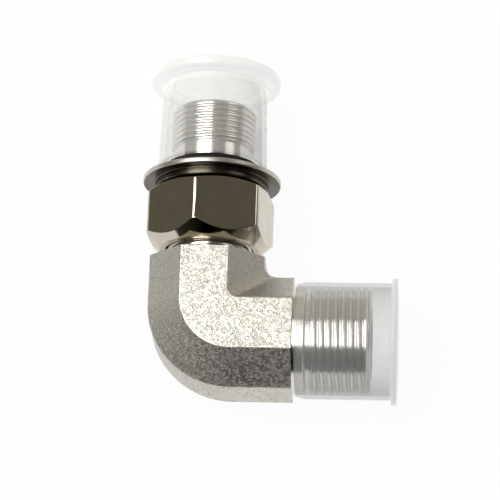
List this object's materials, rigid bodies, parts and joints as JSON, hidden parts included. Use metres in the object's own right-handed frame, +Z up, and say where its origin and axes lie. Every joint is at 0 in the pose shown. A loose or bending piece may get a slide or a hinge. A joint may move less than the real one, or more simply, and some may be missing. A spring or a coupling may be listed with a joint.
{
  "type": "hydraulic elbow adapter",
  "caption": "Right-angled steel hydraulic adapter with an adjustable stud end, a cone-seat male end and a push-on plastic cap over each thread.",
  "frame": {"origin": "middle of the footprint, on the surface that the part lies on", "axes": "+Y along the stud leg away from the bend, +X along the side leg away from the bend, +Z up, square to the plane of the two legs"},
  "size_m": [0.0812, 0.1072, 0.0434],
  "materials": {
    "forged_steel": "matte plated forging with a fine speckle, bright turned ends",
    "nut_plating": "bright plated, mirror-like flats",
    "washer_plating": "bright plated, turned",
    "black_rubber": "satin",
    "milky_plastic": "milky, translucent, smooth",
    "clear_plastic": "clear with a faint grey haze, smooth"
  },
  "bodies": {
    "elbow": {"elbow_body": "forged_steel", "o_ring": "black_rubber"},
    "washer": {"retaining_washer": "washer_plating"},
    "nut": {"lock_nut": "nut_plating"},
    "cap_on_stud": {"stud_cap": "milky_plastic"},
    "cap_on_side": {"side_cap": "clear_plastic"}
  },
  "joints": [
    {"name": "washer_slide", "type": "slide", "parent": "elbow", "child": "washer", "axis": [0, 1, 0], "range_m": [-0.00317, 0.00038]},
    {"name": "nut_turn", "type": "hinge", "parent": "washer", "child": "nut", "pos_m": [-0.01885, 0.00428, 0.0217], "axis": [0, 1, 0], "range_deg": [-630, 75]},
    {"name": "stud_cap_slide", "type": "slide", "parent": "elbow", "child": "cap_on_stud", "axis": [0, 1, 0], "range_m": [0, 0.03]},
    {"name": "side_cap_slide", "type": "slide", "parent": "elbow", "child": "cap_on_side", "axis": [1, 0, 0], "range_m": [0, 0.03]}
  ],
  "couplings": [
    {"joint": "nut_turn", "follows": "washer_slide", "rad_per_m": 3463.7}
  ]
}
